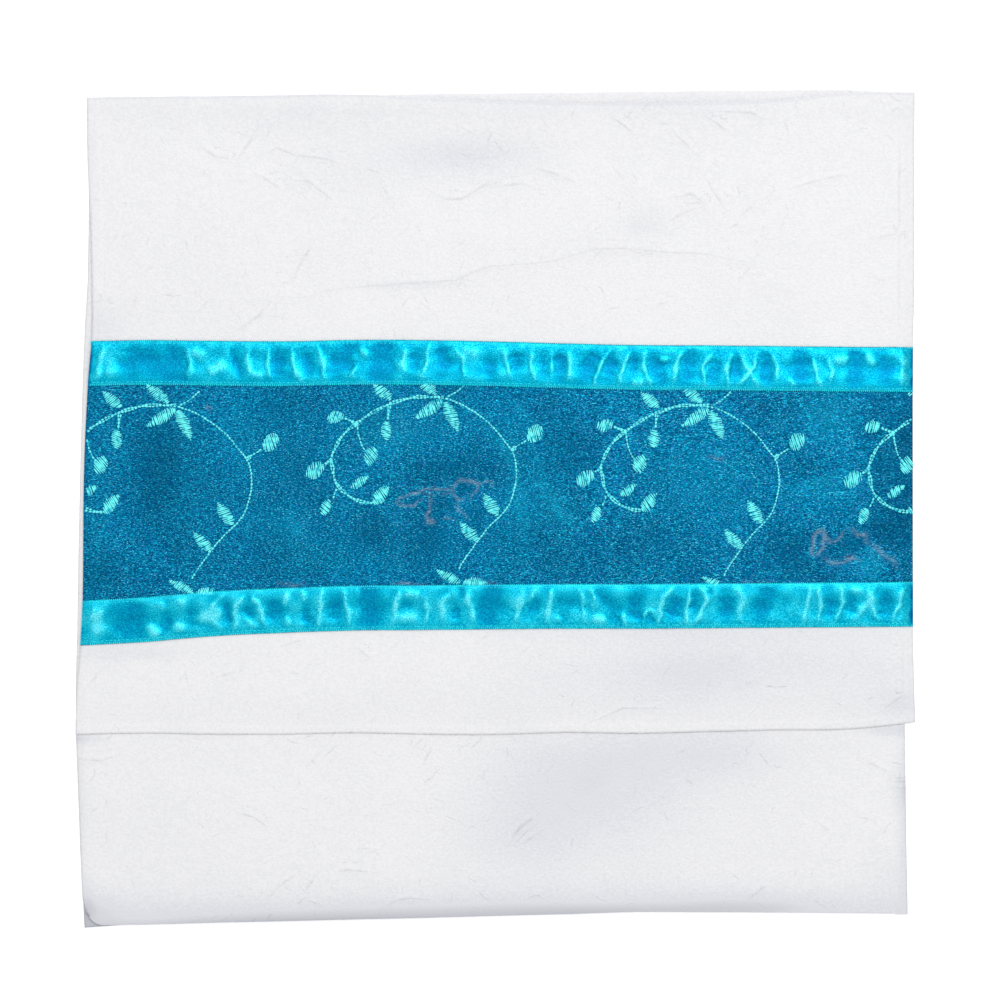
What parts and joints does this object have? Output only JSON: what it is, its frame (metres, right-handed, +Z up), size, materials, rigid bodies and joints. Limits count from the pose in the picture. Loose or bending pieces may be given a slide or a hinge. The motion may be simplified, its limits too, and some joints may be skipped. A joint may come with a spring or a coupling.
{
  "type": "folded tallit prayer shawl",
  "caption": "White satin prayer shawl folded flat in layers, with an embroidered teal organza band between turquoise satin ribbons.",
  "frame": {"origin": "under the middle of the folded shawl, on the surface that it lies on", "axes": "+X across the shawl's width to the right, +Y from the front fold to the back fold, +Z up out of the surface"},
  "size_m": [0.4772, 0.477, 0.011],
  "materials": {
    "white_satin": "crinkled white satin with a soft sheen",
    "teal_organza": "dark teal shot organza with aqua satin-stitch embroidery",
    "turquoise_satin": "glossy turquoise satin ribbon"
  },
  "bodies": {
    "root": {"folded_layers": "white_satin", "top_panel": "white_satin", "embroidered_band": "teal_organza", "ribbon_upper": "turquoise_satin", "ribbon_lower": "turquoise_satin"}
  },
  "joints": []
}
